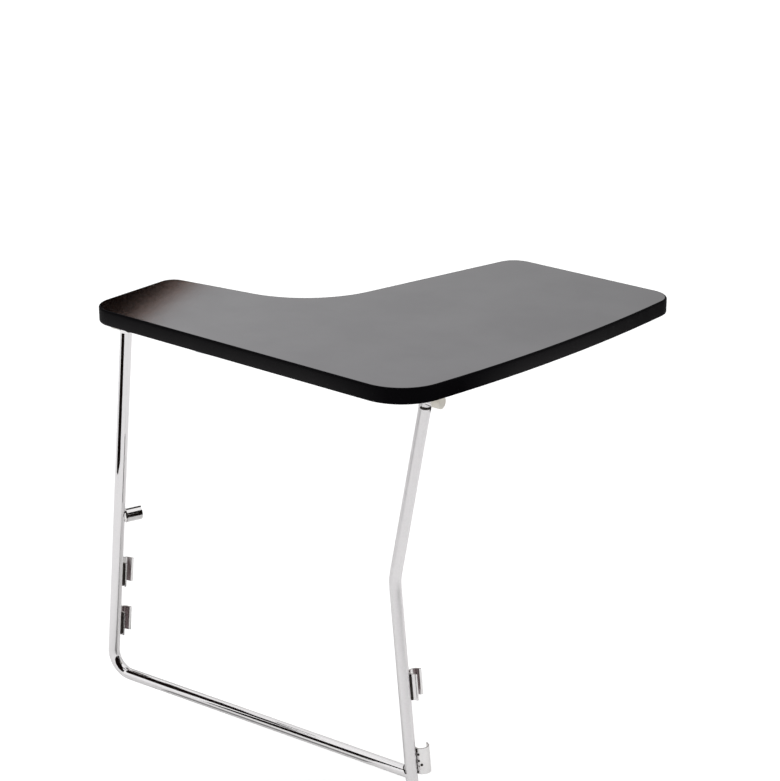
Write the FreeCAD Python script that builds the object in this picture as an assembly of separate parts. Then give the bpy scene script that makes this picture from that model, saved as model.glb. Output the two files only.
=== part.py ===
import FreeCAD, Part
import math
import os

# Clip-on writing tablet for a rod-frame chair, right-hand side, millimetres.
# +X points to the front of the chair, +Y to the sitter, +Z up.
# The origin lies on the axis of the cross rod clip, at the middle of its length.

# Rod frame
rod_diameter = 12.0
leg_splay = 5.65               # lean of the chair's legs, degrees
leg_spacing = 364.7            # rear leg to front leg, along the rail
rail_height = 213.7            # rail axis above the cross rod clip
base_drop = 181.0              # base bar axis below the cross rod clip
base_bend_radius = 22.0
front_leg_lean = 10.4          # lean of the front leg's upper stretch, degrees
kink_drop = 191.8              # kink of the front leg below the rail axis
kink_radius = 60.0
front_leg_stub = 22.0          # front leg below the base bar's axis
weld_gap = 0.05                # between welded faces

# Hinge rail
rail_diameter = 12.0
rail_wall = 1.5
rail_front_overhang = 8.8
rail_rear_overhang = 8.0
plug_head = 9.0
plug_rounding = 1.0
plug_flange = 0.2              # head radius past the rail
plug_stem = 12.0
plug_fit = 0.05

# Spring clips
chair_rod_diameter = 12.0
clip_spring_gap = 0.05
clip_sheet = 1.6
clip_height = 27.5
clip_wrap = 190.0              # degrees of the rod that a clip covers
clip_lip_radius = 4.0
clip_lip_sweep = 45.0
rear_seat_angle = 84.0         # from +X to the chair's rear rod, seen from the leg
front_seat_angle = 65.0
rear_mouth_angle = 13.0        # from +X to the mouth
upper_front_mouth_angle = 17.0
lower_front_mouth_angle = 150.0
cross_clip_length = 17.0
cross_rod_angle = 66.5         # from +X to the chair's cross rod, seen from above
cross_mouth_rise = 40.0        # mouth of the cross rod clip above the level, degrees
rear_upper_clip_drop = 69.2
rear_lower_clip_drop = 127.7
front_upper_clip_drop = 90.2
front_lower_clip_drop = 169.2

# Tablet outline, from its rear outer corner: along the outer edge, then inward
tablet_width = 399.2
front_lead = 34.4              # inner front corner further forward than the outer one
front_crown = 12.5
inner_end = 202.5
bay_corner_along = 170.4
bay_corner_inward = 144.6
rear_width = 119.7
outer_front_radius = 50.0
inner_front_radius = 26.0
inner_corner_radius = 24.0
bay_radius = 105.0
rear_inner_radius = 16.0
rear_outer_radius = 28.0
tablet_yaw = 3.75              # outer edge turned outward from the rail, degrees
corner_back = 26.5             # rear outer corner behind the rear leg, at the rail
corner_outboard = 27.6         # rear outer corner outside the rail
front_corner_ahead = 11.0      # outer front corner ahead of the front leg, at the rail

# Tablet layers
laminate = 0.8
core_thickness = 14.4
backing = 0.8
band_thickness = 2.0
band_rounding = 1.6
tongue_depth = 7.0
tongue_thickness = 2.4
tongue_fit = 0.05
groove_end = 0.5

# Saddles that hang the tablet on the rail
bush_clearance = 0.08
bush_wall = 1.2
bush_overhang = 1.0
saddle_fit = 0.05
strap_sheet = 1.6
strap_width = 28.0
strap_flange = 14.0
strap_corner = 4.0
rear_saddle_gap = 86.0         # clear of the leg and its fold buffer, along the rail
front_saddle_gap = 15.0
screw_diameter = 4.0
screw_head_diameter = 8.0
screw_head_height = 2.4
screw_length = 12.0
screw_spacing = 15.0
screw_fit = 0.05
recess_width = 1.1
recess_length = 4.4
recess_depth = 1.3

# Rest and fold stops
loop_diameter = 10.0
loop_setback = 72.0            # front side of the loop behind the front leg
loop_width = 90.0
loop_reach = 215.0
loop_bend_radius = 24.0
sleeve_length = 38.0
sleeve_place = 0.55            # share of the reach where the side sleeves sit
sleeve_margin = 2.0            # inner sleeve to the loop's bends
sleeve_fit = 0.05
rest_gap = 0.1
buffer_diameter = 11.0
buffer_drop = 15.0             # below the rail when the tablet stands up
buffer_gap = 0.3

Vector = FreeCAD.Vector
Rotation = FreeCAD.Rotation
Placement = FreeCAD.Placement
along_x = Vector(1, 0, 0)
along_y = Vector(0, 1, 0)
along_z = Vector(0, 0, 1)
tiny = 0.01                    # for telling edges apart by their place

rod_radius = rod_diameter / 2
rail_radius = rail_diameter / 2
loop_radius = loop_diameter / 2
clip_bore = chair_rod_diameter / 2 + clip_spring_gap
clip_offset = rod_radius + weld_gap + clip_sheet + clip_bore
splay_slope = math.tan(math.radians(leg_splay))
lean_slope = math.tan(math.radians(front_leg_lean))

# The frame stands in one upright plane, and the rear leg meets the end of the cross rod clip
clip_rise = clip_bore + clip_sheet + clip_lip_radius
cross_rod_way = math.radians(cross_rod_angle)
leg_room = rod_radius * math.hypot(1, splay_slope) + clip_rise * splay_slope * math.cos(cross_rod_way)
cross_clip_reach = cross_clip_length / 2 + weld_gap + leg_room
cross_clip_lead = cross_clip_reach * math.cos(cross_rod_way)
frame_y = -cross_clip_reach * math.sin(cross_rod_way)


def rear_leg_x(height):
    return height * splay_slope - cross_clip_lead


front_leg_top_x = rear_leg_x(rail_height) + leg_spacing
kink_height = rail_height - kink_drop
kink_x = front_leg_top_x - kink_drop * lean_slope


def front_leg_x(height):
    return kink_x + (kink_height - height) * splay_slope


def in_frame(x, height):
    return Vector(x, frame_y, height)


def bent_wire(points, radius):
    edges = []
    start = points[0]
    for before, corner, after in zip(points, points[1:], points[2:]):
        back = (before - corner).normalize()
        ahead = (after - corner).normalize()
        half = back.getAngle(ahead) / 2
        reach = radius / math.tan(half)
        middle = (back + ahead).normalize()
        bulge = corner + middle * (radius / math.sin(half) - radius)
        first = corner + back * reach
        last = corner + ahead * reach
        edges.append(Part.LineSegment(start, first).toShape())
        edges.append(Part.Arc(first, bulge, last).toShape())
        start = last
    edges.append(Part.LineSegment(start, points[-1]).toShape())
    return Part.Wire(edges)


def bent_rod(points, bend_radius, radius):
    path = bent_wire(points, bend_radius)
    section = Part.Wire(Part.makeCircle(radius, points[0], points[1] - points[0]))
    return path.makePipeShell([section], True, False)


def tube(start, direction, length, outer, inner):
    solid = Part.makeCylinder(outer, length, start, direction)
    return solid.cut(Part.makeCylinder(inner, length, start, direction))


def make_rail():
    rear_end = rear_leg_x(rail_height) - rail_rear_overhang
    front_end = front_leg_top_x + rail_front_overhang
    start = in_frame(rear_end, rail_height)
    length = front_end - rear_end
    solid = tube(start, along_x, length, rail_radius, rail_radius - rail_wall)
    return solid, rear_end, front_end


def make_plug(end_x, outward):
    stem_radius = rail_radius - rail_wall - plug_fit
    head_radius = rail_radius + plug_flange
    base = in_frame(end_x, rail_height)
    head = Part.makeCylinder(head_radius, plug_head, base, outward)
    rim = [edge for edge in head.Edges if (edge.CenterOfMass - base).dot(outward) > plug_head - tiny]
    head = head.makeFillet(plug_rounding, rim)
    return head.fuse(Part.makeCylinder(stem_radius, plug_stem, base, outward * -1)).removeSplitter()


def rail_cutter(reach):
    start = in_frame(front_leg_top_x - leg_spacing - reach, rail_height)
    return Part.makeCylinder(rail_radius + weld_gap, leg_spacing + 2 * reach, start, along_x)


def make_front_leg():
    foot = -base_drop - front_leg_stub
    points = [
        in_frame(front_leg_top_x, rail_height),
        in_frame(kink_x, kink_height),
        in_frame(front_leg_x(foot), foot),
    ]
    return bent_rod(points, kink_radius, rod_radius).cut(rail_cutter(rod_diameter))


def make_rear_leg():
    points = [
        in_frame(rear_leg_x(rail_height), rail_height),
        in_frame(rear_leg_x(-base_drop), -base_drop),
        in_frame(front_leg_x(-base_drop), -base_drop),
    ]
    front_axis = in_frame(front_leg_x(kink_height), kink_height)
    foot = in_frame(front_leg_x(-base_drop - front_leg_stub), -base_drop - front_leg_stub)
    down = foot - front_axis
    front_cutter = Part.makeCylinder(rod_radius + weld_gap, down.Length, front_axis, down)
    rod = bent_rod(points, base_bend_radius, rod_radius).cut(rail_cutter(rod_diameter))
    pieces = rod.cut(front_cutter).Solids
    return max(pieces, key=lambda piece: piece.Volume)


def polar(radius, degrees):
    angle = math.radians(degrees)
    return Vector(radius * math.cos(angle), radius * math.sin(angle), 0)


def clip_profile(mouth_angle):
    half_mouth = (360 - clip_wrap) / 2
    middle = clip_bore + clip_sheet / 2
    back = mouth_angle + 180

    def lip_point(side, turn, radius):
        end = mouth_angle + side * half_mouth
        outward = polar(1, end)
        onward = polar(side, end - 90)
        centre = outward * (middle + clip_lip_radius)
        angle = math.radians(turn)
        return centre - outward * (radius * math.cos(angle)) + onward * (radius * math.sin(angle))

    def lip_arc(side, radius):
        turns = (0, clip_lip_sweep / 2, clip_lip_sweep)
        return Part.Arc(*[lip_point(side, turn, radius) for turn in turns]).toShape()

    def wall_arc(radius):
        first = polar(radius, mouth_angle + half_mouth)
        last = polar(radius, mouth_angle - half_mouth)
        return Part.Arc(first, polar(radius, back), last).toShape()

    near = clip_lip_radius + clip_sheet / 2
    far = clip_lip_radius - clip_sheet / 2
    edges = [wall_arc(clip_bore), wall_arc(clip_bore + clip_sheet)]
    for side in (1, -1):
        edges.append(lip_arc(side, near))
        edges.append(lip_arc(side, far))
        tips = [lip_point(side, clip_lip_sweep, radius) for radius in (near, far)]
        edges.append(Part.LineSegment(*tips).toShape())
    return Part.Face(Part.Wire(Part.__sortEdges__(edges)))


def make_leg_clip(leg_point, lean, seat_angle, mouth_angle):
    seat = polar(clip_offset, seat_angle)
    solid = clip_profile(mouth_angle).extrude(along_z * clip_height)
    solid.translate(seat - along_z * (clip_height / 2))
    solid.Placement = Placement(leg_point, Rotation(along_y, lean)).multiply(solid.Placement)
    return solid


def make_cross_clip():
    solid = clip_profile(180 + cross_mouth_rise).extrude(along_z * cross_clip_length)
    solid.translate(along_z * (-cross_clip_length / 2))
    turn = Rotation(along_z, cross_rod_angle - 90).multiply(Rotation(along_x, -90))
    solid.Placement = Placement(Vector(), turn).multiply(solid.Placement)
    return solid


# Heights set by the hinge
bush_outer = rail_radius + bush_clearance + bush_wall
hinge_drop = bush_outer + saddle_fit
underside = rail_height + hinge_drop
core_low = underside + backing
core_high = core_low + core_thickness
tablet_top = core_high + laminate


def tablet_outline():
    corners = [
        Vector(0, 0, 0),
        Vector(outer_edge, 0, 0),
        Vector(outer_edge + front_lead, tablet_width, 0),
        Vector(outer_edge + front_lead - inner_end, tablet_width, 0),
        Vector(bay_corner_along, bay_corner_inward, 0),
        Vector(0, rear_width, 0),
    ]
    radii = [
        rear_outer_radius,
        outer_front_radius,
        inner_front_radius,
        inner_corner_radius,
        bay_radius,
        rear_inner_radius,
    ]
    edges = [Part.LineSegment(*pair).toShape() for pair in zip(corners, corners[1:] + corners[:1])]
    chord = corners[2] - corners[1]
    forward = Vector(chord.y, -chord.x, 0).normalize()
    crown = corners[1] + chord * 0.5 + forward * front_crown
    edges[1] = Part.Arc(corners[1], crown, corners[2]).toShape()
    prism = Part.Face(Part.Wire(edges)).extrude(along_z)
    for corner, radius in zip(corners, radii):
        middle = corner + along_z * 0.5
        upright = [edge for edge in prism.Edges if (edge.CenterOfMass - middle).Length < tiny]
        prism = prism.makeFillet(radius, upright)
    base = min(prism.Faces, key=lambda face: face.CenterOfMass.z)
    return Part.Face(base.OuterWire)


edge_run = corner_back + leg_spacing + front_corner_ahead
outer_edge = edge_run / math.cos(math.radians(tablet_yaw))
outline = tablet_outline()
tablet_corner = Vector(rear_leg_x(rail_height) - corner_back, frame_y - corner_outboard, 0)
tablet_place = Placement(tablet_corner, Rotation(along_z, -tablet_yaw))


def slab(inset, low, high):
    face = outline.copy()
    if inset > 0:
        face = outline.makeOffset2D(-inset)
    solid = face.extrude(along_z * (high - low))
    solid.translate(along_z * low)
    return solid


def ring(outer_inset, inner_inset, low, high):
    return slab(outer_inset, low, high).cut(slab(inner_inset, low, high))


def on_tablet(solid):
    solid.Placement = tablet_place.multiply(solid.Placement)
    return solid


tongue_low = (core_low + core_high - tongue_thickness) / 2
tongue_high = tongue_low + tongue_thickness


def make_edge_band():
    body = slab(0, underside, tablet_top)
    middle = (underside + tablet_top) / 2
    rims = [edge for edge in body.Edges if abs(edge.CenterOfMass.z - middle) > tiny]
    body = body.makeFillet(band_rounding, rims)
    body = body.cut(slab(band_thickness, underside, tablet_top))
    tongue = ring(band_thickness, band_thickness + tongue_depth, tongue_low, tongue_high)
    return on_tablet(body.fuse(tongue).removeSplitter())


def make_core():
    depth = band_thickness + tongue_depth + groove_end
    groove = ring(band_thickness, depth, tongue_low - tongue_fit, tongue_high + tongue_fit)
    return on_tablet(slab(band_thickness, core_low, core_high).cut(groove))


strap_bore = bush_outer + saddle_fit
strap_outer = strap_bore + strap_sheet
strap_end = strap_outer + strap_flange


def make_strap(middle_x):
    top = hinge_drop
    low = hinge_drop - strap_sheet

    def point(y, z):
        return Vector(middle_x - strap_width / 2, frame_y + y, rail_height + z)

    inner_face = [(strap_bore, 0), (strap_bore, top), (strap_end, top)]
    outer_face = [(strap_end, low), (strap_outer, low), (strap_outer, 0)]
    edges = []
    for side in (1, -1):
        corners = [point(side * y, z) for y, z in inner_face + outer_face]
        edges += [Part.LineSegment(*pair).toShape() for pair in zip(corners, corners[1:])]
    for radius in (strap_bore, strap_outer):
        edges.append(Part.Arc(point(-radius, 0), point(0, -radius), point(radius, 0)).toShape())
    profile = Part.Face(Part.Wire(Part.__sortEdges__(edges)))
    solid = profile.extrude(along_x * strap_width)
    ends = [edge for edge in solid.Edges if abs(edge.CenterOfMass.y - frame_y) > strap_end - tiny]
    solid = solid.makeFillet(strap_corner, [edge for edge in ends if is_upright(edge)])
    for x, y in screw_places(middle_x):
        start = Vector(x, y, rail_height + low)
        solid = solid.cut(Part.makeCylinder(screw_diameter / 2 + screw_fit, strap_sheet, start))
    return solid


def is_upright(edge):
    return abs(edge.tangentAt(edge.FirstParameter).z) > 0.99


def screw_places(middle_x):
    reach = strap_outer + strap_flange / 2
    steps = (-screw_spacing / 2, screw_spacing / 2)
    return [(middle_x + step, frame_y + side * reach) for side in (-1, 1) for step in steps]


def make_screw(x, y):
    seat = Vector(x, y, underside - strap_sheet)
    head = Part.makeCylinder(screw_head_diameter / 2, screw_head_height, seat, along_z * -1)
    rim = [edge for edge in head.Edges if edge.CenterOfMass.z < seat.z - screw_head_height + tiny]
    head = head.makeFillet(screw_head_height / 2, rim)
    shank = Part.makeCylinder(screw_diameter / 2, screw_length, seat)
    screw = head.fuse(shank).removeSplitter()
    floor = seat.z - screw_head_height
    for size_x, size_y in ((recess_length, recess_width), (recess_width, recess_length)):
        corner = Vector(x - size_x / 2, y - size_y / 2, floor)
        screw = screw.cut(Part.makeBox(size_x, size_y, recess_depth, corner))
    return screw


def drilled(solid, middles):
    for middle_x in middles:
        for x, y in screw_places(middle_x):
            start = Vector(x, y, underside)
            depth = screw_length - strap_sheet + screw_fit
            solid = solid.cut(Part.makeCylinder(screw_diameter / 2 + screw_fit, depth, start))
    return solid


def make_bush(middle_x):
    length = strap_width + 2 * bush_overhang
    start = in_frame(middle_x - length / 2, rail_height)
    return tube(start, along_x, length, bush_outer, rail_radius + bush_clearance)


def make_loop():
    front = front_leg_top_x - loop_setback
    rear = front - loop_width
    inner = frame_y + loop_reach
    points = [
        in_frame(front, rail_height),
        Vector(front, inner, rail_height),
        Vector(rear, inner, rail_height),
        in_frame(rear, rail_height),
    ]
    return bent_rod(points, loop_bend_radius, loop_radius).cut(rail_cutter(0)), front, rear, inner


def make_sleeve(centre, direction, length):
    start = centre - direction * (length / 2)
    return tube(start, direction, length, hinge_drop - rest_gap, loop_radius + sleeve_fit)


def saddle_step(slope, gap):
    leg_reach = rod_radius * math.hypot(1, slope) + bush_outer * slope
    buffer_reach = buffer_drop * slope + buffer_diameter / 2
    return max(leg_reach + bush_overhang, buffer_reach) + gap + strap_width / 2


def make_buffer(leg_x):
    thickness = hinge_drop - rod_radius - buffer_gap
    base = Vector(leg_x, frame_y - buffer_drop, underside)
    return Part.makeCylinder(buffer_diameter / 2, thickness, base, along_z * -1)


rail, rail_rear_end, rail_front_end = make_rail()
loop, loop_front, loop_rear, loop_inner = make_loop()
rear_saddle = rear_leg_x(rail_height) + saddle_step(splay_slope, rear_saddle_gap)
front_saddle = front_leg_top_x - saddle_step(lean_slope, front_saddle_gap)
saddles = (rear_saddle, front_saddle)
loop_middle = (loop_front + loop_rear) / 2
loop_end = Vector(loop_middle, loop_inner, rail_height)
inner_sleeve_length = loop_width - 2 * (loop_bend_radius + sleeve_margin)
sleeve_y = frame_y + loop_reach * sleeve_place
rear_buffer_x = rear_leg_x(rail_height - buffer_drop)
front_buffer_x = front_leg_top_x - buffer_drop * lean_slope


def rear_leg_clip(drop):
    leg_point = in_frame(rear_leg_x(-drop), -drop)
    return make_leg_clip(leg_point, leg_splay, rear_seat_angle, rear_mouth_angle)


def front_leg_clip(drop, mouth_angle):
    leg_point = in_frame(front_leg_x(-drop), -drop)
    return make_leg_clip(leg_point, -leg_splay, front_seat_angle, mouth_angle)


nodes = {
    "rear_leg_and_base_bar": make_rear_leg(),
    "front_leg": make_front_leg(),
    "hinge_rail": rail,
    "rail_front_plug": make_plug(rail_front_end, along_x),
    "rail_rear_plug": make_plug(rail_rear_end, along_x * -1),
    "cross_rod_clip": make_cross_clip(),
    "rear_leg_clip_upper": rear_leg_clip(rear_upper_clip_drop),
    "rear_leg_clip_lower": rear_leg_clip(rear_lower_clip_drop),
    "front_leg_clip_upper": front_leg_clip(front_upper_clip_drop, upper_front_mouth_angle),
    "front_leg_clip_lower": front_leg_clip(front_lower_clip_drop, lower_front_mouth_angle),
    "support_loop": loop,
    "support_sleeve_front": make_sleeve(Vector(loop_front, sleeve_y, rail_height), along_y, sleeve_length),
    "support_sleeve_rear": make_sleeve(Vector(loop_rear, sleeve_y, rail_height), along_y, sleeve_length),
    "support_sleeve_inner": make_sleeve(loop_end, along_x, inner_sleeve_length),
    "tablet_core": drilled(make_core(), saddles),
    "top_laminate": on_tablet(slab(band_thickness, core_high, tablet_top)),
    "backing_sheet": drilled(on_tablet(slab(band_thickness, underside, core_low)), saddles),
    "edge_band": make_edge_band(),
    "rear_saddle_strap": make_strap(rear_saddle),
    "front_saddle_strap": make_strap(front_saddle),
    "rear_saddle_bush": make_bush(rear_saddle),
    "front_saddle_bush": make_bush(front_saddle),
    "rear_strap_screws": Part.makeCompound([make_screw(x, y) for x, y in screw_places(rear_saddle)]),
    "front_strap_screws": Part.makeCompound([make_screw(x, y) for x, y in screw_places(front_saddle)]),
    "rear_fold_buffer": make_buffer(rear_buffer_x),
    "front_fold_buffer": make_buffer(front_buffer_x),
}

for name, shape in nodes.items():
    print(name, len(shape.Solids), shape.isValid(), round(shape.Volume, 1))
    shape.exportStep("parts/" + name + ".step")
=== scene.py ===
import math
import bpy
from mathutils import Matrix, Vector


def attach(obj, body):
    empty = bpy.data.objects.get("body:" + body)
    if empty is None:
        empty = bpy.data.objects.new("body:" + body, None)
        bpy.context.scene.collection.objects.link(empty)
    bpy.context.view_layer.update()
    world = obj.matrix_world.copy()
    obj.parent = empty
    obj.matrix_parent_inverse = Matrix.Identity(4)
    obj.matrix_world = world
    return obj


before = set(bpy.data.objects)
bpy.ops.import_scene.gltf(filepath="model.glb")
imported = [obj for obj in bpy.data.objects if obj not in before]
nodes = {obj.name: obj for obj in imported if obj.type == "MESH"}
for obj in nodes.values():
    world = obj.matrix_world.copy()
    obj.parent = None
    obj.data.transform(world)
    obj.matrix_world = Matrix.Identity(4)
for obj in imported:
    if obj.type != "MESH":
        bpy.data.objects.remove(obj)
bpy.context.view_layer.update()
print("frame loaded:", len(nodes), "nodes")

# long lens, right of the tablet's front corner and a little above it
photoView = {"place": (1.493703, -1.646442, 0.9518), "tilt": 69.73, "turn": 35.27,
             "lens": 106.02, "sensor": 36, "sight": 60}
bpy.ops.object.camera_add(location=photoView["place"])
camera = bpy.context.object
camera.name = "photoCamera"
camera.rotation_euler = (math.radians(photoView["tilt"]), 0, math.radians(photoView["turn"]))
camera.data.lens = photoView["lens"]
camera.data.sensor_width = photoView["sensor"]
camera.data.clip_end = photoView["sight"]
bpy.context.scene.camera = camera
bpy.context.scene.view_settings.view_transform = "Standard"
print("camera set")


def paint(hexText):  # sRGB hex to the linear colour that Blender wants
    parts = [int(hexText[i:i + 2], 16) / 255 for i in (1, 3, 5)]
    return [p / 12.92 if p <= 0.04045 else ((p + 0.055) / 1.055) ** 2.4 for p in parts] + [1]


def setInputs(tree, node, inputs):  # a value or a link for each input
    for name, value in inputs.items():
        if isinstance(value, bpy.types.NodeSocket):
            tree.links.new(value, node.inputs[name])
        else:
            node.inputs[name].default_value = value


def addNode(tree, kind, inputs=None, settings=None):
    node = tree.nodes.new(kind)
    for name, value in (settings or {}).items():
        setattr(node, name, value)
    setInputs(tree, node, inputs or {})
    return node


def combine(tree, operation, first, second=0):
    return addNode(tree, "ShaderNodeMath", {0: first, 1: second}, {"operation": operation}).outputs[0]


def ramp(tree, value, span, least=0, most=1):  # least at the span's start, most at its end, level beyond
    return addNode(tree, "ShaderNodeMapRange", {"Value": value, "From Min": span[0], "From Max": span[1],
                                                "To Min": least, "To Max": most}).outputs[0]


def noise(tree, place, scale, detail, roughness=0.5):
    return addNode(tree, "ShaderNodeTexNoise", {"Vector": place, "Scale": scale, "Detail": detail,
                                                "Roughness": roughness}).outputs[0]


def blend(tree, amount, first, second):  # from the first colour to the second
    return addNode(tree, "ShaderNodeMix", {0: amount, 6: first, 7: second}, {"data_type": "RGBA"}).outputs[2]


def relief(tree, height, strength, distance):
    return addNode(tree, "ShaderNodeBump", {"Height": height, "Strength": strength,
                                            "Distance": distance}).outputs[0]


def shown(tree, ray):  # 1 for what the eye sees, straight or by way of metal or glass
    seen = combine(tree, "MAXIMUM", ray.outputs["Is Camera Ray"], ray.outputs["Is Glossy Ray"])
    return combine(tree, "MAXIMUM", seen, ray.outputs["Is Transmission Ray"])


def newMaterial(name):
    material = bpy.data.materials.new(name)
    material.use_nodes = True
    tree = material.node_tree
    place = addNode(tree, "ShaderNodeTexCoord").outputs["Object"]
    return material, tree, tree.nodes["Principled BSDF"], place


def mattCard(name, colour):  # matt paint that can glow as well
    material = bpy.data.materials.new(name)
    material.use_nodes = True
    tree = material.node_tree
    tree.nodes.clear()
    matt = addNode(tree, "ShaderNodeBsdfDiffuse", {"Color": paint(colour)})
    glow = addNode(tree, "ShaderNodeEmission")
    both = addNode(tree, "ShaderNodeAddShader", {0: matt.outputs[0], 1: glow.outputs[0]})
    addNode(tree, "ShaderNodeOutputMaterial", {"Surface": both.outputs[0]})
    return material, tree, glow


def addProp(name, material, middle, turn, spread):  # a flat stage piece that only reflections show
    bpy.ops.object.select_all(action="DESELECT")
    bpy.ops.mesh.primitive_plane_add(size=1, location=middle, rotation=turn)
    prop = bpy.context.object
    prop.name = name
    prop.scale = (*spread, 1)
    prop.visible_camera = False
    prop.visible_diffuse = False
    prop.visible_shadow = False
    prop.data.materials.append(material)


def dress(material, *nodeNames):
    for nodeName in nodeNames:
        nodes[nodeName].data.materials.clear()
        nodes[nodeName].data.materials.append(material)


# white all round, and in reflections a little darker to the right and low down behind the tablet
backdrop = {"ambient": 0.5, "dimRight": 0.25, "rightSpan": (-0.66, -0.42),
            "dimLow": 0.16, "lowSpan": (0.295, 0.345), "farSpan": (0.2, 0.5)}
world = bpy.data.worlds.new("whiteStudio")
bpy.context.scene.world = world
world.use_nodes = True
world.cycles.sampling_method = "NONE"  # so that a cloth hides the white behind it in a reflection
tree = world.node_tree
tree.nodes.clear()
ray = addNode(tree, "ShaderNodeLightPath")
aim = addNode(tree, "ShaderNodeTexCoord").outputs["Generated"]
way = addNode(tree, "ShaderNodeSeparateXYZ", {0: aim}).outputs
right = ramp(tree, way[0], backdrop["rightSpan"], 0, backdrop["dimRight"])
far = ramp(tree, way[1], backdrop["farSpan"])
low = ramp(tree, way[2], backdrop["lowSpan"], backdrop["dimLow"], 0)
dim = combine(tree, "MULTIPLY", combine(tree, "ADD", right, low), far)
dim = combine(tree, "MULTIPLY", dim, ray.outputs["Is Glossy Ray"])
most = combine(tree, "SUBTRACT", 1, dim)
level = ramp(tree, shown(tree, ray), (0, 1), backdrop["ambient"], most)
sky = addNode(tree, "ShaderNodeBackground", {"Strength": level, "Color": (1, 1, 1, 1)})
addNode(tree, "ShaderNodeOutputWorld", {"Surface": sky.outputs[0]})

# pale floor well below the arm, as under a chair that it is clipped to
ground = {"height": -0.453, "size": 60, "colour": "#ececec", "lift": 0.3}
bpy.ops.object.select_all(action="DESELECT")
bpy.ops.mesh.primitive_plane_add(size=ground["size"], location=(0, 0, ground["height"]))
floor = bpy.context.object
floor.name = "studioFloor"
material, tree, glow = mattCard("paleStudioFloor", ground["colour"])
seen = shown(tree, addNode(tree, "ShaderNodeLightPath"))
setInputs(tree, glow, {"Strength": combine(tree, "MULTIPLY", seen, ground["lift"])})
floor.data.materials.append(material)

# cards for the chrome: a white one close under the arm, which brings its soft shadow into the
# reflections, a grey strip on it beside the bar that is a painted shadow of the bar, and a lit and a dark panel
# under the tablet
cards = {"whiteCard": {"x": (-4, 4), "y": (-4, 4), "height": -0.2045, "colour": "#f2f2f2", "lit": 0},
         "greyStrip": {"x": (0.03, 0.3), "y": (-0.06, -0.03), "height": -0.2035, "colour": "#9a9a9a", "lit": 0},
         "litPanel": {"x": (-0.03, 0.2), "y": (-0.045, 0.2), "height": 0.207, "colour": "#000000", "lit": 1},
         "darkPanel": {"x": (0.2, 0.45), "y": (-0.01, 0.07), "height": 0.2, "colour": "#0c0a09", "lit": 0}}
for name, card in cards.items():
    material, tree, glow = mattCard(name, card["colour"])
    setInputs(tree, glow, {"Strength": card["lit"]})
    middle = (sum(card["x"]) / 2, sum(card["y"]) / 2, card["height"])
    addProp(name, material, middle, (0, 0, 0), (card["x"][1] - card["x"][0], card["y"][1] - card["y"][0]))

# one broad soft sun from overhead, kept out of reflections
sun = {"place": (0, 0, 3), "strength": 1.6, "angle": 50, "tilt": 12, "turn": 70}
bpy.ops.object.light_add(type="SUN", location=sun["place"])
keyLight = bpy.context.object
keyLight.name = "broadKeyLight"
keyLight.visible_glossy = False
keyLight.data.energy = sun["strength"]
keyLight.data.angle = math.radians(sun["angle"])
keyLight.rotation_euler = (math.radians(sun["tilt"]), 0, math.radians(sun["turn"]))

# felt cloths out of shot, for the dark lines in the chrome and the tablet's dark rear end, which has
# a tan edge: ends on plan, low and high edge, and a lean within the cloth's own plane
feltColour = "#1a1412"
cloths = {"byRearLeg": {"ends": ((-0.0851, -0.0898), (0.0313, -0.1276)), "heights": (0.01, 0.183)},
          "overBar": {"ends": ((-0.5, -0.7), (-0.5, 0.05)), "heights": (0.2, 0.8)},
          "byBar": {"ends": ((-0.23, -0.5), (0.035, -0.5)), "heights": (-0.17, 0.35)},
          "behindTablet": {"ends": ((-2.1083, 1.6254), (-1.6681, 2.0332)), "heights": (0.4456, 1.3456),
                           "lean": -54},
          "tanEdge": {"ends": ((-2.1034, 1.6435), (-1.6632, 2.0513)), "heights": (0.4675, 1.3675),
                      "lean": -54, "colour": "#c8a596"},
          "byFront": {"ends": ((1.45, -0.45), (1.45, 0.75)), "heights": (-0.204, 2.3)},
          "byCrossClip": {"ends": ((0.12, -0.016), (0.12, 0.01)), "heights": (-0.056, 0.03)},
          "behindCamera": {"ends": ((-0.6, -4.564), (5.0, 0.527)), "heights": (-0.2, 7)}}
for name, cloth in cloths.items():
    felt = bpy.data.materials.new(name)
    felt.use_nodes = True
    setInputs(felt.node_tree, felt.node_tree.nodes["Principled BSDF"],
              {"Base Color": paint(cloth.get("colour", feltColour)), "Roughness": 1, "Specular IOR Level": 0})
    first, last = [Vector(end) for end in cloth["ends"]]
    low, high = cloth["heights"]
    along = last - first
    middle = (first + last) / 2
    turn = (math.pi / 2, math.radians(cloth.get("lean", 0)), math.atan2(along.y, along.x))
    addProp("cloth" + name[0].upper() + name[1:], felt, (middle.x, middle.y, (low + high) / 2),
            turn, (along.length, high - low))
print("stage set")


# Bright chrome on drawn steel rod: buffed before plating, so close to a mirror, with a slow waviness
# and a few dull marks
def chromePlate(name, least, most):
    plate, tree, shader, place = newMaterial(name)
    wave = noise(tree, place, 55, 2)  # 18 mm buffing waves
    mark = noise(tree, place, 420, 4, 0.6)  # 2 mm handling marks
    dull = ramp(tree, mark, (0.35, 0.75), least, most)
    tone = blend(tree, mark, paint("#f0eeef"), paint("#e6e4e5"))
    bump = relief(tree, wave, 0.12, 0.0004)
    setInputs(tree, shader, {"Metallic": 1, "Base Color": tone, "Roughness": dull, "Normal": bump})
    return plate


chrome = chromePlate("brightChromePlate", 0.045, 0.12)
softChrome = chromePlate("lessBuffedChromePlate", 0.34, 0.4)  # the front leg has a quieter shine
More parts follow.
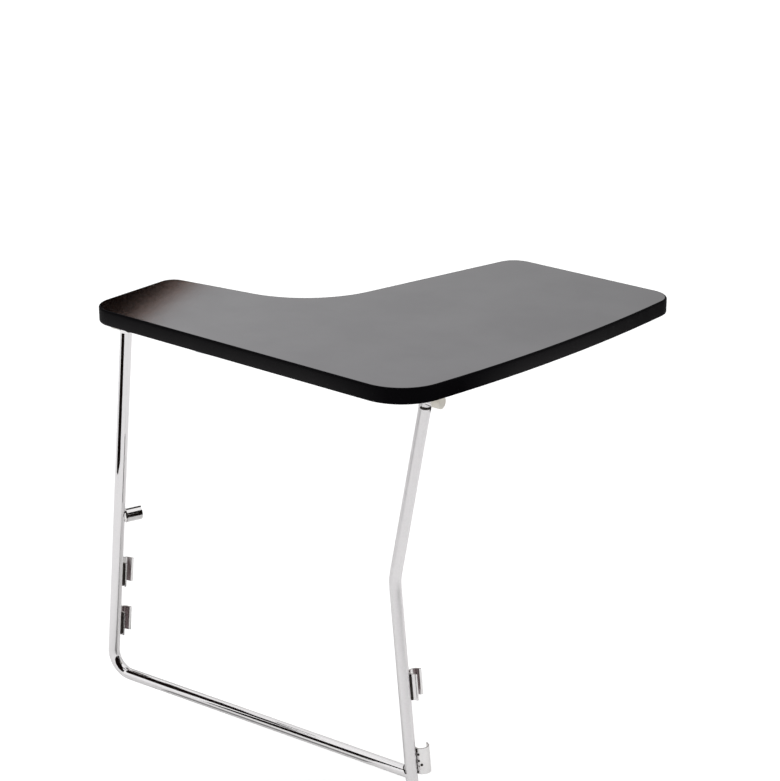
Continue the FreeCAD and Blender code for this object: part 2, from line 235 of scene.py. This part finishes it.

# Chromed spring sheet: pressed cold, so faint press marks and a softer shine than the rod's, brown down the
# bores in a band of painted shade on the far side, where plating is also thin, and grey on the sheared ends,
# where plating is thin
springSheet, tree, shader, place = newMaterial("chromedSpringSheet")
bores = {"rear": ((-0.011418, -0.000167, -0.069341), (-0.098451, 0, -0.995142)),
         "front": ((0.361495, -0.001375, -0.08963), (0.098451, 0, -0.995142))}  # a point and the axis
boreAndEndSpans = {"wall": (0.0063, 0.0066), "farSide": (-0.4, 0.917, 0), "depth": (0.005, 0.0057),
        "endFacing": (0.96, 0.985), "legClipHeight": (-0.045, -0.035)}
bands = []
for point, axis in bores.values():  # a band of painted shade and thin plating down the far side of each bore
    away = addNode(tree, "ShaderNodeVectorMath", {0: place, 1: point}, {"operation": "SUBTRACT"})
    turned = addNode(tree, "ShaderNodeVectorMath", {0: away.outputs[0], 1: axis}, {"operation": "CROSS_PRODUCT"})
    gap = addNode(tree, "ShaderNodeVectorMath", {0: turned.outputs[0]}, {"operation": "LENGTH"})
    deep = addNode(tree, "ShaderNodeVectorMath", {0: away.outputs[0], 1: boreAndEndSpans["farSide"]},
                   {"operation": "DOT_PRODUCT"})
    inside = ramp(tree, gap.outputs["Value"], boreAndEndSpans["wall"], 1, 0)
    bands.append(combine(tree, "MULTIPLY", inside, ramp(tree, deep.outputs["Value"], boreAndEndSpans["depth"])))
boreShadeAndStain = combine(tree, "MAXIMUM", bands[0], bands[1])
normal = addNode(tree, "ShaderNodeNewGeometry").outputs["Normal"]
facing = addNode(tree, "ShaderNodeSeparateXYZ", {0: normal}).outputs[2]
cut = ramp(tree, combine(tree, "ABSOLUTE", facing), boreAndEndSpans["endFacing"])
height = addNode(tree, "ShaderNodeSeparateXYZ", {0: place}).outputs[2]
sheared = combine(tree, "MULTIPLY", cut, ramp(tree, height, boreAndEndSpans["legClipHeight"], 1, 0))  # leg clips only
press = noise(tree, place, 240, 3)  # 4 mm press marks
drag = noise(tree, place, 700, 4)  # 1.4 mm die drag
dull = ramp(tree, drag, (0.3, 0.75), 0.07, 0.17)
tone = blend(tree, press, paint("#f0efef"), paint("#e1dfdf"))
boreShadeAndStainTone = blend(tree, drag, paint("#857879"), paint("#5c5254"))
tone = blend(tree, boreShadeAndStain, tone, boreShadeAndStainTone)
tone = blend(tree, sheared, tone, paint("#a09b99"))
bump = relief(tree, press, 0.2, 0.0003)
setInputs(tree, shader, {"Metallic": 1, "Base Color": tone, "Roughness": dull, "Normal": bump})

# Bright zinc plate on pressed strap: bluish and satin, in soft cloudy patches
zincStrap, tree, shader, place = newMaterial("brightZincStrap")
cloud = noise(tree, place, 160, 4)  # 6 mm plating clouds
spangle = addNode(tree, "ShaderNodeTexVoronoi", {"Vector": place, "Scale": 600})  # 1.7 mm crystals, drawn large
tone = blend(tree, cloud, paint("#c4c8cc"), paint("#a9adb3"))
dull = ramp(tree, cloud, (0.3, 0.7), 0.24, 0.4)
bump = relief(tree, spangle.outputs["Distance"], 0.12, 0.0002)
setInputs(tree, shader, {"Metallic": 1, "Base Color": tone, "Roughness": dull, "Normal": bump})

# Zinc-plated screw: turned and tumbled, finer grained than the strap and a little darker
zincScrew, tree, shader, place = newMaterial("tumbledZincScrew")
grit = noise(tree, place, 1100, 3)  # 0.9 mm tumbling marks
tone = blend(tree, grit, paint("#b9bcc0"), paint("#94989e"))
dull = ramp(tree, grit, (0.3, 0.7), 0.2, 0.38)
bump = relief(tree, grit, 0.15, 0.0001)
setInputs(tree, shader, {"Metallic": 1, "Base Color": tone, "Roughness": dull, "Normal": bump})

# Moulded polythene: waxy, pale and slightly soiled
polythene, tree, shader, place = newMaterial("mouldedPolythene")
soil = noise(tree, place, 300, 4)  # 3 mm soiling
tone = blend(tree, soil, paint("#f0ece4"), paint("#dcd7cd"))
bump = relief(tree, soil, 0.15, 0.0001)
setInputs(tree, shader, {"Base Color": tone, "Roughness": 0.46, "IOR": 1.51, "Normal": bump})

# Extruded black rubber: matt, with a dusty bloom
rubber, tree, shader, place = newMaterial("extrudedBlackRubber")
bloom = noise(tree, place, 180, 5)  # 5 mm bloom
grain = noise(tree, place, 1600, 2)  # 0.6 mm skin
tone = blend(tree, bloom, paint("#131313"), paint("#242322"))
dull = ramp(tree, bloom, (0.3, 0.7), 0.62, 0.82)
bump = relief(tree, grain, 0.3, 0.0002)
setInputs(tree, shader, {"Base Color": tone, "Roughness": dull, "IOR": 1.52, "Normal": bump})

# Turned natural nylon: creamy, with fine turning rings
nylon, tree, shader, place = newMaterial("naturalNylon")
ring = addNode(tree, "ShaderNodeTexWave", {"Vector": place, "Scale": 200, "Distortion": 1.0},
               {"bands_direction": "X"}).outputs["Fac"]  # 1.5 mm rings
tone = blend(tree, ring, paint("#e2ddcf"), paint("#d4cebe"))
bump = relief(tree, ring, 0.1, 0.0001)
setInputs(tree, shader, {"Base Color": tone, "Roughness": 0.42, "IOR": 1.53, "Normal": bump})

# Chipboard: pressed flakes, pale and dark, with no direction
chipboard, tree, shader, place = newMaterial("pressedChipboard")
flake = addNode(tree, "ShaderNodeTexVoronoi", {"Vector": place, "Scale": 330, "Randomness": 1})  # 3 mm flakes
shade = addNode(tree, "ShaderNodeSeparateColor", {"Color": flake.outputs["Color"]}).outputs[0]
tone = blend(tree, shade, paint("#b8935f"), paint("#8a6840"))
bump = relief(tree, flake.outputs["Distance"], 0.4, 0.0004)
setInputs(tree, shader, {"Base Color": tone, "Roughness": 0.85, "IOR": 1.5, "Normal": bump})

# Black melamine laminate, pressed against a satin plate: deep black under a clear overlay that shines
# grey at a low angle, with hand smears and fine rubs
laminate, tree, shader, place = newMaterial("satinBlackLaminate")
smear = noise(tree, place, 14, 5, 0.55)  # 70 mm smears
pebble = noise(tree, place, 900, 2)  # plate texture, drawn at 1.1 mm
drawn = addNode(tree, "ShaderNodeMapping", {"Vector": place, "Rotation": (0, 0, 0.5), "Scale": (14, 900, 1)})
rub = noise(tree, drawn.outputs[0], 1, 3)  # 1 mm rubs, 70 mm long
dull = ramp(tree, combine(tree, "MULTIPLY", smear, rub), (0.1, 0.45), 0.035, 0.06)
tone = blend(tree, smear, paint("#060201"), paint("#0c0503"))
film = ramp(tree, smear, (0.35, 0.65), 0.84, 0.72)
bump = relief(tree, pebble, 0.12, 0.0001)
setInputs(tree, shader, {"Base Color": tone, "Roughness": dull, "IOR": 1.5, "Specular IOR Level": 0.5,
                         "Specular Tint": paint("#e6dcff"), "Normal": bump, "Coat Weight": film,
                         "Coat IOR": 1.5, "Coat Roughness": dull, "Coat Normal": bump})

# White melamine backing: a dull sheet with a faint cloud and paper fibre under the resin
backing, tree, shader, place = newMaterial("whiteMelamineBacking")
cloud = noise(tree, place, 45, 6, 0.65)  # 22 mm resin clouds
fibre = noise(tree, place, 1300, 3)  # 0.8 mm paper fibre
tone = blend(tree, cloud, paint("#f3f0ea"), paint("#e6e2da"))
dull = ramp(tree, cloud, (0.3, 0.7), 0.45, 0.62)
bump = relief(tree, fibre, 0.2, 0.0001)
setInputs(tree, shader, {"Base Color": tone, "Roughness": dull, "IOR": 1.6, "Normal": bump})

# Extruded black vinyl edge: matt with a dull sheen; a painted reflection greys it in places, most towards the
# rear and low on its face, and leaves it black along its upper rim and at the front corner
moulding, tree, shader, place = newMaterial("extrudedBlackVinyl")
sheenSpans = {"rear": (0.28, 0.37), "inner": (0.0, 0.08), "innerMost": 0.85, "innerFade": (0.17, 0.27),
             "innerFadeLeast": 0.3, "face": (0.221, 0.2335), "faceLeast": 0.45, "rim": (0.2335, 0.2362),
             "rimLeast": 0.2}
knock = noise(tree, place, 90, 5, 0.6)  # 11 mm scuffs
skin = noise(tree, place, 800, 2)  # extrusion skin, drawn at 1.2 mm
spot = addNode(tree, "ShaderNodeSeparateXYZ", {0: place}).outputs
# painted reflection: greyer towards the rear and over a stretch further in, fading up the face, black at the
# upper rim
rear = ramp(tree, spot[0], sheenSpans["rear"], 1, 0)
inner = ramp(tree, spot[1], sheenSpans["inner"], 0, sheenSpans["innerMost"])
innerFade = ramp(tree, spot[1], sheenSpans["innerFade"], 1, sheenSpans["innerFadeLeast"])
paintedSheen = combine(tree, "MAXIMUM", rear, combine(tree, "MULTIPLY", inner, innerFade))  # the painted reflection is left off at the front corner
faceFade = ramp(tree, spot[2], sheenSpans["face"], 1, sheenSpans["faceLeast"])
rim = ramp(tree, spot[2], sheenSpans["rim"], 1, sheenSpans["rimLeast"])
paintedSheen = combine(tree, "MULTIPLY", combine(tree, "MULTIPLY", paintedSheen, faceFade), rim)
blackTone = blend(tree, knock, paint("#020103"), paint("#060508"))
sheenTone = blend(tree, knock, paint("#232223"), paint("#2c2b2c"))
tone = blend(tree, paintedSheen, blackTone, sheenTone)
dull = ramp(tree, knock, (0.3, 0.7), 0.62, 0.78)
bump = relief(tree, skin, 0.12, 0.0001)
setInputs(tree, shader, {"Base Color": tone, "Roughness": dull, "IOR": 1.5, "Specular IOR Level": 0.05,
                         "Normal": bump})

# Weld metal under thin plating: lumpy and pitted; its near black is painted shade for the dark valleys and gaps
# at the joints as well as plating that missed the pits
weldMetalAndShade, tree, shader, place = newMaterial("pittedWeldAndPaintedShade")
pit = noise(tree, place, 900, 4)  # 1.1 mm pits
tone = blend(tree, pit, paint("#15110f"), paint("#4a4440"))
dull = ramp(tree, pit, (0.3, 0.7), 0.35, 0.6)
bump = relief(tree, pit, 0.5, 0.0003)
setInputs(tree, shader, {"Metallic": 0.8, "Base Color": tone, "Roughness": dull, "Normal": bump})

dress(chrome, "rear_leg_and_base_bar", "hinge_rail", "support_loop")
dress(softChrome, "front_leg")
dress(springSheet, "cross_rod_clip", "rear_leg_clip_upper", "rear_leg_clip_lower",
      "front_leg_clip_upper", "front_leg_clip_lower")
dress(zincStrap, "front_saddle_strap", "rear_saddle_strap")
dress(zincScrew, "front_strap_screws", "rear_strap_screws")
dress(polythene, "rail_front_plug", "rail_rear_plug")
dress(rubber, "support_sleeve_front", "support_sleeve_inner", "support_sleeve_rear",
      "front_fold_buffer", "rear_fold_buffer")
dress(nylon, "front_saddle_bush", "rear_saddle_bush")
dress(chipboard, "tablet_core")
dress(laminate, "top_laminate")
dress(backing, "backing_sheet")
dress(moulding, "edge_band")
print("materials set")

# rods as the frame has them, in metres
rods = {"planeY": -0.013793, "radius": 0.006, "railHeight": 0.2137, "barHeight": -0.181,
        "splay": math.tan(math.radians(5.65)), "rearAtZero": -0.005997, "frontTop": 0.379845,
        "frontLean": math.tan(math.radians(10.4)), "kinkX": 0.344645, "kinkHeight": 0.0219, "loopRadius": 0.005}


def rearLegX(height):
    return rods["rearAtZero"] + height * rods["splay"]


def frontLegX(height):  # axis of the front leg above and below its kink
    if height > rods["kinkHeight"]:
        return rods["frontTop"] - (rods["railHeight"] - height) * rods["frontLean"]
    return rods["kinkX"] + (rods["kinkHeight"] - height) * rods["splay"]


weld = {"ringSteps": 48, "proud": 0.0002, "roundness": 4, "lump": 0.0005, "lumpSize": 0.0016}
lumps = bpy.data.textures.new("weldLumps", "CLOUDS")
lumps.noise_scale = weld["lumpSize"]


def layWeld(name, path, closed, thickness):  # a lumpy bead along the points
    bpy.ops.object.select_all(action="DESELECT")
    line = bpy.data.curves.new(name, "CURVE")
    line.dimensions = "3D"
    line.bevel_depth = thickness
    line.bevel_resolution = weld["roundness"]
    line.use_fill_caps = True
    run = line.splines.new("POLY")
    run.points.add(len(path) - 1)
    for point, spot in zip(run.points, path):
        point.co = (*spot, 1)
    run.use_cyclic_u = closed
    bead = bpy.data.objects.new(name, line)
    bpy.context.scene.collection.objects.link(bead)
    bead.select_set(True)
    bpy.context.view_layer.objects.active = bead
    bpy.ops.object.convert(target="MESH")
    bead = bpy.context.object
    rough = bead.modifiers.new("lumps", "DISPLACE")
    rough.texture = lumps
    rough.texture_coords = "LOCAL"
    rough.strength = weld["lump"]
    bpy.ops.object.modifier_apply(modifier="lumps")
    bpy.ops.object.shade_smooth()
    bead.data.materials.append(weldMetalAndShade)
    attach(bead, "frame")


def sweep(arc):  # the angles along an arc
    reach = arc["to"] - arc["from"]
    return [math.radians(arc["from"] + reach * step / arc["steps"]) for step in range(arc["steps"] + 1)]


turns = [2 * math.pi * step / weld["ringSteps"] for step in range(weld["ringSteps"])]
side = rods["radius"] + weld["proud"]

rearTop = {"thickness": 0.0005}
path = []
for turn in turns:  # all round the rear leg, below the rail
    height = rods["railHeight"] - rods["radius"] * abs(math.cos(turn))
    path.append((rearLegX(height) + side * math.cos(turn), rods["planeY"] + side * math.sin(turn), height))
layWeld("weldRearLegTop", path, True, rearTop["thickness"])

frontTop = {"from": -102, "to": -8, "steps": 24, "sunk": 0.001, "drop": 0.006, "sag": 0.0017, "sagTurn": 0.7,
            "thickness": 0.0018}
sunk = rods["radius"] - frontTop["sunk"]  # clear of the tablet when it is folded up
path = []
for turn in sweep(frontTop):  # a heavy run on the near side, below the rail
    height = rods["railHeight"] - frontTop["drop"] - frontTop["sag"] * math.cos(turn + frontTop["sagTurn"])
    path.append((frontLegX(height) + sunk * math.cos(turn), rods["planeY"] + sunk * math.sin(turn), height))
layWeld("weldFrontLegTop", path, False, frontTop["thickness"])

barEnd = {"from": -80, "to": 10, "steps": 12, "clear": 0.0015, "thickness": 0.0006}
path = []
for turn in sweep(barEnd):  # above and on the near side only
    height = rods["barHeight"] + side * math.cos(turn)
    face = frontLegX(height) - rods["radius"] * abs(math.cos(turn))
    path.append((face - barEnd["clear"], rods["planeY"] + side * math.sin(turn), height))
layWeld("weldBaseBarEnd", path, False, barEnd["thickness"])

loopEnds = {"places": {"weldLoopFront": 0.307845, "weldLoopRear": 0.217845}, "thickness": 0.0009}
loopSide = rods["loopRadius"] + weld["proud"]
for name, middle in loopEnds["places"].items():  # where the loop's ends meet the rail
    path = []
    for turn in turns:
        rise = loopSide * math.sin(turn)
        reach = math.sqrt(rods["radius"] ** 2 - rise ** 2)
        path.append((middle + loopSide * math.cos(turn), rods["planeY"] + reach, rods["railHeight"] + rise))
    layWeld(name, path, True, loopEnds["thickness"])

# two fillets behind a leg clip, in the valleys beside the line where it touches the leg; their near-black metal
# also paints the shade in these valleys
clipLegs = {"rear": {"seat": 84, "axis": rearLegX, "heights": {"Upper": -0.0692, "Lower": -0.1277}},
            "front": {"seat": 65, "axis": frontLegX, "heights": {"Upper": -0.0902}}}
fillet = {"valley": 0.0031, "proud": 0.0001, "half": 0.0128, "steps": 12, "thickness": 0.0010}
for legName, leg in clipLegs.items():
    seat = math.radians(leg["seat"])
    outward = Vector((math.cos(seat), math.sin(seat)))
    beside = Vector((-math.sin(seat), math.cos(seat)))
    for level, middle in leg["heights"].items():
        for hand, sign in (("A", 1), ("B", -1)):
            spot = outward * (rods["radius"] + fillet["proud"]) + beside * (sign * fillet["valley"])
            path = []
            for step in range(fillet["steps"] + 1):
                height = middle + fillet["half"] * (2 * step / fillet["steps"] - 1)
                path.append((leg["axis"](height) + spot.x, rods["planeY"] + spot.y, height))
            layWeld(legName + "ClipWeld" + level + hand, path, False, fillet["thickness"])

# the lower front clip is tacked in spots: middle, half length along the leg, thickness
tacks = (((0.36711, -0.00895, -0.15756), 0.0012, 0.0015),
         ((0.36941, -0.00898, -0.16124), 0.0007, 0.0013),
         ((0.36869, -0.01063, -0.16937), 0.0004, 0.0008),
         ((0.37037, -0.00894, -0.16793), 0.0006, 0.0010),
         ((0.3731, -0.0082, -0.17183), 0.0007, 0.0014),
         ((0.3695, -0.01107, -0.17501), 0.0005, 0.0009),
         ((0.36924, -0.00892, -0.18066), 0.0008, 0.0012))
for number, (middle, half, thickness) in enumerate(tacks):
    path = [(middle[0] - step * half * rods["splay"], middle[1], middle[2] + step * half) for step in (-1, 0, 1)]
    layWeld("frontClipTack" + str(number + 1), path, False, thickness)

# cross clip: the rim of its end is welded to the rear leg, from the near side upward
crossRim = {"angle": 66.5, "end": 0.0091, "ring": 0.0068, "from": -5, "to": 60, "steps": 24, "thickness": 0.0010}
angle = math.radians(crossRim["angle"])
along = Vector((math.cos(angle), math.sin(angle), 0))
across = Vector((math.sin(angle), -math.cos(angle), 0))
path = []
for turn in sweep(crossRim):
    rim = across * math.cos(turn) + Vector((0, 0, math.sin(turn)))
    path.append(along * -crossRim["end"] + rim * crossRim["ring"])
layWeld("weldCrossClipRim", path, False, crossRim["thickness"])
print("welds laid")
